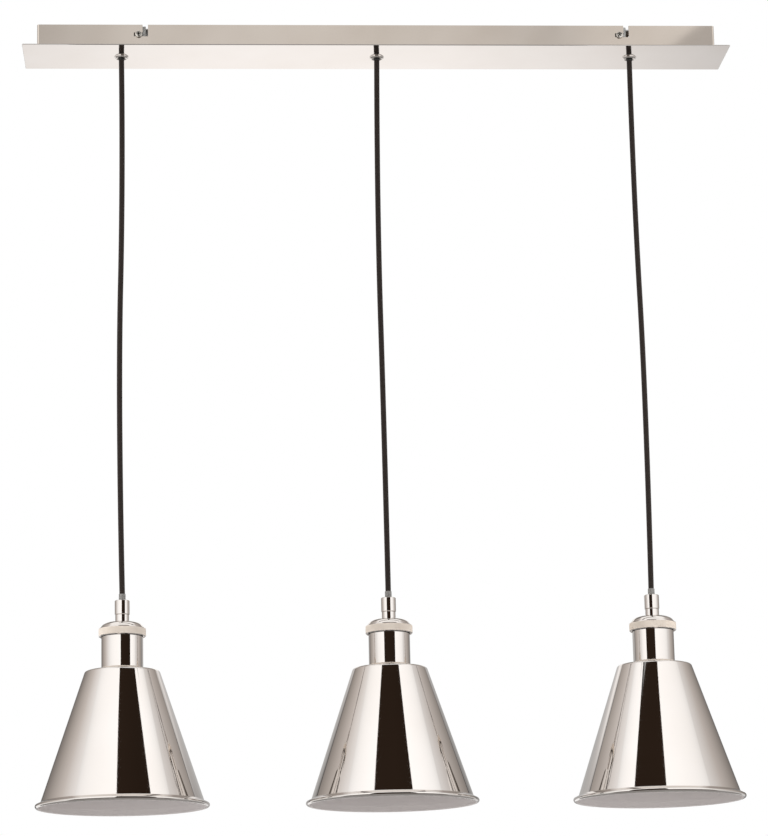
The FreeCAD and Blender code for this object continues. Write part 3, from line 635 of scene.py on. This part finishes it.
# phenolic socket with its brass shell, pressed in the round thread of the lamp, and the centre contact
def makeSocket(side):
    outer, top = roundSize(f"socket_body_{side}")
    mouth, depth, well = socket["mouthMm"], socket["depthMm"], socket["wellMm"]
    bottom = depth + socket["wellDepthMm"]
    outline = [(0, bottom), (well, bottom), (well, depth), (mouth, depth),
               (mouth, 0, socket["mouthRoundMm"]), (outer, 0, socket["footRoundMm"]), (outer, top), (0, top)]
    lampPiece("socket", "socket_body", side, turnOutline(outline, 72, closed=False),
              ["blackPhenolic"])

    # a wave as long as the shell is spun into a thread, and its two ends are cut level
    outer, length = roundSize(f"screw_shell_{side}")
    pitch, steps = shell["pitchMm"], shell["waveSteps"]
    across = outer - shell["threadMm"] - shell["wallMm"] / 2
    shape = bmesh.new()
    wave = [shape.verts.new((across + shell["threadMm"] * math.cos(fullTurn * step / steps), 0,
                             step * pitch / steps)) for step in range(steps * shell["turns"] + 1)]
    for pair in zip(wave, wave[1:]):
        shape.edges.new(pair)
    bmesh.ops.spin(shape, geom=shape.verts[:] + shape.edges[:], cent=(0, 0, 0), axis=(0, 0, 1),
                   dvec=(0, 0, pitch / shell["roundSteps"]), angle=fullTurn, steps=shell["roundSteps"],
                   use_merge=False)
    bmesh.ops.remove_doubles(shape, verts=shape.verts, dist=shell["weldMm"])
    for cut, way in ((pitch, -1), (length + pitch, 1)):
        bmesh.ops.bisect_plane(shape, geom=shape.verts[:] + shape.edges[:] + shape.faces[:], dist=0.0001,
                               plane_co=(0, 0, cut), plane_no=(0, 0, way), clear_outer=True)
    bmesh.ops.translate(shape, verts=shape.verts, vec=(0, 0, -pitch))
    bmesh.ops.recalc_face_normals(shape, faces=shape.faces)
    bmesh.ops.solidify(shape, geom=shape.faces[:], thickness=shell["wallMm"])
    lampPiece("socket_shell", "screw_shell", side, shape, ["turnedBrass"],
              sharpDeg=shell["sharpDeg"])

    outer, height = roundSize(f"centre_contact_{side}")
    outline = [(0, height), (outer, height), (outer, contact["sideMm"], contact["sideRoundMm"]),
               (contact["crownMm"], 0, contact["crownRoundMm"]), (0, 0)]
    lampPiece("socket_contact", "centre_contact", side, turnOutline(outline, 40, closed=False),
              ["turnedBrass"])


retainingRing = {"grips": 32, "gripMm": 0.7, "bandMm": 0.9, "boreRoundMm": 0.4, "footRoundMm": 0.8,
                 "topRoundMm": 0.5}


# the ring that holds the shade on the socket, with a finger grip at every third step of its edge
def makeRetainingRing(side):
    facts = retainingRing
    outer, height = roundSize(f"shade_ring_{side}")
    bore = shade["neckMm"]
    outline = [(bore, 0, facts["boreRoundMm"]), (outer, 0, facts["footRoundMm"]),
               (outer, height, facts["topRoundMm"]), (bore, height)]
    shape = turnOutline(outline, facts["grips"] * 3)
    for vert in shape.verts:
        turn = math.atan2(vert.co.y, vert.co.x) / fullTurn * facts["grips"] * 3
        if math.hypot(vert.co.x, vert.co.y) > outer - facts["bandMm"] and round(turn) % 3 == 0:
            vert.co.xy *= 1 - facts["gripMm"] / outer
    lampPiece("shade_retaining_ring", "shade_ring", side, shape, ["blackPhenolic"])


# neck, corner and cone are radii; the cone's foot is its height above the rim; the bead is a radius
shade = {"neckMm": 19.65, "cornerMm": 40.25, "coneMm": 87.6, "coneFootMm": 6.6, "beadMm": 2.4,
         "sheetMm": 1.0, "roundMm": 3.2, "innerRoundMm": 2.4, "fluteMm": 0.8, "sharpDeg": 28}


# spun cone: flat top, small round, straight wall, then a short flare into a rolled bead
def makeShade(side):
    edge, rise = roundSize(f"shade_{side}")
    neck, corner, cone, coneFoot = shade["neckMm"], shade["cornerMm"], shade["coneMm"], shade["coneFootMm"]
    bead, wall = shade["beadMm"], shade["sheetMm"]
    slope = (cone - corner) / (rise - coneFoot)
    thick = wall * math.sqrt(1 + slope ** 2)        # the sheet measured level, on the slant
    roll = [(edge - bead + bead * math.cos(math.radians(turn)), bead + bead * math.sin(math.radians(turn)))
            for turn in range(45, -181, -15)]
    outline = [(neck, rise), (corner, rise, shade["roundMm"]), (cone, coneFoot, shade["fluteMm"])] + roll
    outline += [(cone - thick, coneFoot, shade["fluteMm"]),
                (corner - thick + slope * wall, rise - wall, shade["innerRoundMm"]), (neck, rise - wall)]
    shape = turnOutline(outline, 192, segments=5)
    bmesh.ops.recalc_face_normals(shape, faces=shape.faces)
    for face in shape.faces:        # the paint is on the faces that look inwards, and under the top
        middle = face.calc_center_median()
        away = Vector((middle.x, middle.y, 0)).normalized().dot(face.normal)
        if away < -0.2 or (face.normal.z < -0.9 and middle.z > rise / 2):
            face.material_index = 1
    lampPiece("shade_cone", "shade", side, shape, ["polishedNickel", "whitePaint"],
              sharpDeg=shade["sharpDeg"])


for side in sides:
    makeCord(side)
    makeBush(side)
    makeClamp(side)
    makeHolderCap(side)
    makeHolderSleeve(side)
    makeSocket(side)
    makeRetainingRing(side)
    makeShade(side)
print("lamps made")

photo = {"widthPx": 768, "focalPx": 2980, "cameraM": (-0.2169, -3.2137, -1.1843), "yawDeg": -3.852,
         "pitchDeg": 12.869, "rollDeg": -1.233}


def makeCamera():
    lens = bpy.data.cameras.new("camera")
    lens.sensor_fit = "HORIZONTAL"
    lens.lens = photo["focalPx"] / photo["widthPx"] * lens.sensor_width
    lens.clip_end = 100
    camera = placeObject("camera", lens)
    turn = Euler((math.radians(90 + photo["pitchDeg"]), 0, math.radians(photo["yawDeg"]))).to_matrix()
    roll = Matrix.Rotation(math.radians(photo["rollDeg"]), 3, "Z")
    camera.matrix_world = Matrix.Translation(photo["cameraM"]) @ (turn @ roll).to_4x4()
    bpy.context.scene.camera = camera


# The studio is drawn in metres. It is a floor, two softboxes with a dark gap between them, a strip, a
# backdrop and a pale surround, and the polished metal mirrors them.
def stagePlane(name, material, corners):
    shape = bmesh.new()
    shape.faces.new([shape.verts.new(corner) for corner in corners])
    mesh = bpy.data.meshes.new(name)
    shape.to_mesh(mesh)
    shape.free()
    mesh.materials.append(material)
    plane = placeObject(name, mesh)
    return plane


floor = {"heightM": -2.2, "sizeM": 7.0, "colour": "#E9E7E4", "glow": 0.97, "mirrorGlow": 0.22,
         "glowShare": 0.7}


# matt paint that takes the light, with a glow mixed in where the camera or a mirror looks at it
def makeFloor():
    material, tree = emptyMaterial("studio floor, pale")
    paint = addNode(tree, "ShaderNodeBsdfDiffuse", {"Color": linear(floor["colour"])})
    path = addNode(tree, "ShaderNodeLightPath")
    strength = addNode(tree, "ShaderNodeMath", {
        0: path.outputs["Is Glossy Ray"], 1: floor["mirrorGlow"] - floor["glow"], 2: floor["glow"]},
        operation="MULTIPLY_ADD")
    glow = addNode(tree, "ShaderNodeEmission", {
        "Color": linear("#FFFFFF"), "Strength": strength.outputs[0]})
    direct = addNode(tree, "ShaderNodeMath", {
        0: path.outputs["Is Camera Ray"], 1: path.outputs["Is Transmission Ray"]}, operation="MAXIMUM")
    seen = addNode(tree, "ShaderNodeMath", {
        0: direct.outputs[0], 1: path.outputs["Is Glossy Ray"]}, operation="MAXIMUM")
    share = addNode(tree, "ShaderNodeMath", {
        0: seen.outputs[0], 1: floor["glowShare"]}, operation="MULTIPLY")
    mix = addNode(tree, "ShaderNodeMixShader", {
        0: share.outputs[0], 1: paint.outputs[0], 2: glow.outputs[0]})
    addNode(tree, "ShaderNodeOutputMaterial", {"Surface": mix.outputs[0]})
    half, height = floor["sizeM"] / 2, floor["heightM"]
    stagePlane("floor", material, [(-half, -half, height), (half, -half, height), (half, half, height),
                                   (-half, half, height)])


# Stops are a place and either a colour or a plain share of light. The first and the last place are
# the ramp's two ends.
def setStops(ramp, stops):
    low, high = stops[0][0], stops[-1][0]
    ramp.elements.remove(ramp.elements[1])
    for index, (where, colour) in enumerate(stops):
        share = (where - low) / (high - low)
        stop = ramp.elements[0] if index == 0 else ramp.elements.new(share)
        stop.position = share
        stop.color = linear(colour) if isinstance(colour, str) else (colour, colour, colour, 1)


# a glowing panel that the camera doesn't see; its light changes along X, and up Z where rise is given
def litPanel(name, stops, strength, corners, rise=None):
    material, tree = emptyMaterial(name)
    place = addNode(tree, "ShaderNodeTexCoord")
    parts = addNode(tree, "ShaderNodeSeparateXYZ", {"Vector": place.outputs["Object"]})
    colour = None
    for axis, marks in (("X", stops), ("Z", rise)):
        if not marks:
            continue
        along = addNode(tree, "ShaderNodeMapRange", {
            "Value": parts.outputs[axis], "From Min": marks[0][0], "From Max": marks[-1][0]})
        ramp = addNode(tree, "ShaderNodeValToRGB", {"Fac": along.outputs["Result"]})
        setStops(ramp.color_ramp, marks)
        if colour is None:
            colour = ramp.outputs["Color"]
        else:
            both = addNode(tree, "ShaderNodeMix", {"Factor": 1.0, 6: colour, 7: ramp.outputs["Color"]},
                           data_type="RGBA", blend_type="MULTIPLY")
            colour = both.outputs[2]
    glow = addNode(tree, "ShaderNodeEmission", {"Color": colour, "Strength": strength})
    addNode(tree, "ShaderNodeOutputMaterial", {"Surface": glow.outputs[0]})
    panel = stagePlane(name, material, corners)
    panel.visible_camera = False
    return panel


softbox = {"frontM": -0.6, "widthM": 2.3, "highM": 2.2, "innerHighM": 0.1, "lowM": -0.75, "fillLowM": -1.9,
           "innerGlow": 1.5, "leftM": -0.37, "leftGlow": 1.11, "rightM": 0.31, "rightGlow": 1.07}


# A diffuser panel, brightest at its inner edge; the camera looks between the two. The fill below it
# lights the insides of the shades but stays out of the mirror images.
def makeSoftbox(name, inner, outer, outerGlow):
    front, low, fillLow = softbox["frontM"], softbox["lowM"], softbox["fillLowM"]
    high, innerHigh = softbox["highM"], softbox["innerHighM"]
    ends = sorted([(inner, 1.0), (outer, outerGlow / softbox["innerGlow"])])
    litPanel(name, ends, softbox["innerGlow"], [
        (inner, front, low), (outer, front, low), (outer, front, high), (inner, front, innerHigh)])
    fill = litPanel(f"{name}_fill", ends, softbox["innerGlow"], [
        (inner, front, fillLow), (outer, front, fillLow), (outer, front, low), (inner, front, low)])
    fill.visible_glossy = False


# the strip ends on a slant at the right, and a plain panel goes on from there
strip = {"frontM": -0.59, "lowM": 0.12, "highM": 0.27, "leftM": -0.52, "slantLowM": 0.377,
         "slantHighM": 0.532, "endM": 0.56, "strength": 1.25, "endGlow": 0.69, "footM": -0.04,
         "stops": [(-0.52, 0.576), (-0.41, 0.6), (-0.29, 0.75), (-0.05, 0.787), (0.17, 0.76), (0.275, 0.63),
                   (0.34, 0.82), (0.53, 0.9)],
         "footStops": [(-0.32, 0.03), (-0.16, 0.72), (0.05, 0.72), (0.19, 0.03)]}


# the low strip above the camera, which the front of the canopy mirrors
def makeStrip():
    front, low, high, foot = strip["frontM"], strip["lowM"], strip["highM"], strip["footM"]
    left, end = strip["leftM"], strip["endM"]
    slantLow, slantHigh = strip["slantLowM"], strip["slantHighM"]
    litPanel("strip_light", strip["stops"], strip["strength"], [
        (left, front, low), (slantLow, front, low), (slantHigh, front, high), (left, front, high)])
    # its lower part lights the canopy's front when it is looked at from level with it
    footLeft, footRight = strip["footStops"][0][0], strip["footStops"][-1][0]
    litPanel("strip_low", strip["footStops"], 1.0, [
        (footLeft, front, foot), (footRight, front, foot), (footRight, front, low), (footLeft, front, low)])
    litPanel("strip_end", [(slantLow, strip["endGlow"]), (end, strip["endGlow"])], 1.0, [
        (slantLow, front, low), (end, front, low), (end, front, high), (slantHigh, front, high)])


backdrop = {"backM": 0.83, "strength": 1.34, "flagM": 0.06, "flagGlow": 0.14, "flagEdgeM": 0.005,
            "stops": [(-0.6, 0.42), (-0.46, 0.84), (-0.23, 0.985), (0.02, 0.985), (0.16, 0.955),
                      (0.379, 0.81), (0.6, 0.58), (0.72, 0.48)],
            "rise": [(-1.0, "#A2A09F"), (-0.6, "#ADACAB"), (-0.5, "#BCBAB9"), (-0.42, "#D4D2D1"),
                     (-0.36, "#FAF8F7"), (-0.16, "#FFFDFB")]}


# the lit backdrop behind the lamps, between two dark flags; the plate and the lamps' edges mirror it
def makeBackdrop():
    back, dark, edge = backdrop["backM"], backdrop["flagGlow"], backdrop["flagEdgeM"]
    left, right = backdrop["stops"][0][0], backdrop["stops"][-1][0]
    low, high = backdrop["rise"][0][0], backdrop["rise"][-1][0]
    first, last = left - backdrop["flagM"], right + backdrop["flagM"]
    stops = [(first, dark), (left - edge, dark)] + backdrop["stops"] + [(right + edge, dark), (last, dark)]
    litPanel("backdrop_panel", stops, backdrop["strength"], [
        (first, back, low), (last, back, low), (last, back, high), (first, back, high)], backdrop["rise"])


# Numbers are parts of the direction that is looked in: X to the right, Y to the back and Z up.
# A band is the axis that it follows, where it starts and where it is full.
surround = {
    "strength": 1.35,
    # from the dark front, past the lit sides, to the dim back
    "around": [(-1, "#291F18"), (-0.42, "#291F18"), (-0.32, "#F3F3F3"), (-0.13, "#E6E4E3"),
               (0.2, "#C6C0BC"), (0.6, "#A09A95"), (0.8, "#86807C"), (1, "#65605B")],
    "aside": [(-1, 1.0), (0.05, 1.0), (0.45, 0.87), (1, 0.87)],
    "ground": [(-0.1, 0.82), (0.05, 0.97), (0.2, 0.56)],
    "bands": {"behind": ("Y", -0.3, -0.2), "below": ("Z", -0.02, -0.06), "overhead": ("Z", 0.78, 0.86),
              "farBack": ("Y", 0.15, 0.3), "raised": ("Z", 0.54, 0.6), "central": ("aside", 0.45, 0.3)},
    "duskColour": "#5A5550", "floorColour": "#6C6561", "overheadColour": "#F9F8F7"}


def makeWorld():
    world = bpy.data.worlds.new("studio")
    bpy.context.scene.world = world
    world.use_nodes = True
    tree = world.node_tree
    tree.nodes.clear()
    place = addNode(tree, "ShaderNodeTexCoord")
    parts = addNode(tree, "ShaderNodeSeparateXYZ", {"Vector": place.outputs["Generated"]})
    aside = addNode(tree, "ShaderNodeMath", {0: parts.outputs["X"]}, operation="ABSOLUTE")
    coordinates = {"X": parts.outputs["X"], "Y": parts.outputs["Y"], "Z": parts.outputs["Z"],
                   "aside": aside.outputs[0]}
    ramps = {}
    for name, axis in (("around", "Y"), ("aside", "X"), ("ground", "X")):
        marks = surround[name]
        along = addNode(tree, "ShaderNodeMapRange", {
            "Value": coordinates[axis], "From Min": marks[0][0], "From Max": marks[-1][0]})
        ramp = addNode(tree, "ShaderNodeValToRGB", {"Fac": along.outputs["Result"]})
        setStops(ramp.color_ramp, marks)
        ramps[name] = ramp.outputs["Color"]
    shares = {}
    for name, (axis, start, full) in surround["bands"].items():
        band = addNode(tree, "ShaderNodeMapRange", {
            "Value": coordinates[axis], "From Min": start, "From Max": full})
        shares[name] = band.outputs["Result"]
    for name, first, second in (("ground", "below", "behind"), ("patch", "overhead", "behind"),
                                ("aboveBack", "farBack", "raised"), ("dusk", "aboveBack", "central")):
        both = addNode(tree, "ShaderNodeMath", {0: shares[first], 1: shares[second]}, operation="MULTIPLY")
        shares[name] = both.outputs[0]
    shaded = addNode(tree, "ShaderNodeMix", {"Factor": 1.0, 6: ramps["around"], 7: ramps["aside"]},
                     data_type="RGBA", blend_type="MULTIPLY")
    colour = shaded.outputs[2]
    # Behind and above it is dark up to the bright patch overhead. The floor in front is dim, and the
    # lower half of each bead mirrors it. The ground behind is bright.
    for share, over in (("dusk", linear(surround["duskColour"])), ("below", linear(surround["floorColour"])),
                        ("ground", ramps["ground"]), ("patch", linear(surround["overheadColour"]))):
        layer = addNode(tree, "ShaderNodeMix", {"Factor": shares[share], 6: colour, 7: over},
                        data_type="RGBA")
        colour = layer.outputs[2]
    lit = addNode(tree, "ShaderNodeBackground", {"Color": colour, "Strength": surround["strength"]})
    white = addNode(tree, "ShaderNodeBackground", {"Color": linear("#FFFFFF"), "Strength": 1.0})
    path = addNode(tree, "ShaderNodeLightPath")
    direct = addNode(tree, "ShaderNodeMath", {
        0: path.outputs["Is Camera Ray"], 1: path.outputs["Is Transmission Ray"]}, operation="MAXIMUM")
    mix = addNode(tree, "ShaderNodeMixShader", {
        0: direct.outputs[0], 1: lit.outputs[0], 2: white.outputs[0]})
    addNode(tree, "ShaderNodeOutputWorld", {"Surface": mix.outputs[0]})


makeCamera()
makeFloor()
makeSoftbox("softbox_left", softbox["leftM"], softbox["leftM"] - softbox["widthM"], softbox["leftGlow"])
makeSoftbox("softbox_right", softbox["rightM"], softbox["rightM"] + softbox["widthM"], softbox["rightGlow"])
makeStrip()
makeBackdrop()
makeWorld()
bpy.context.scene.view_settings.view_transform = "Standard"
print("studio made")
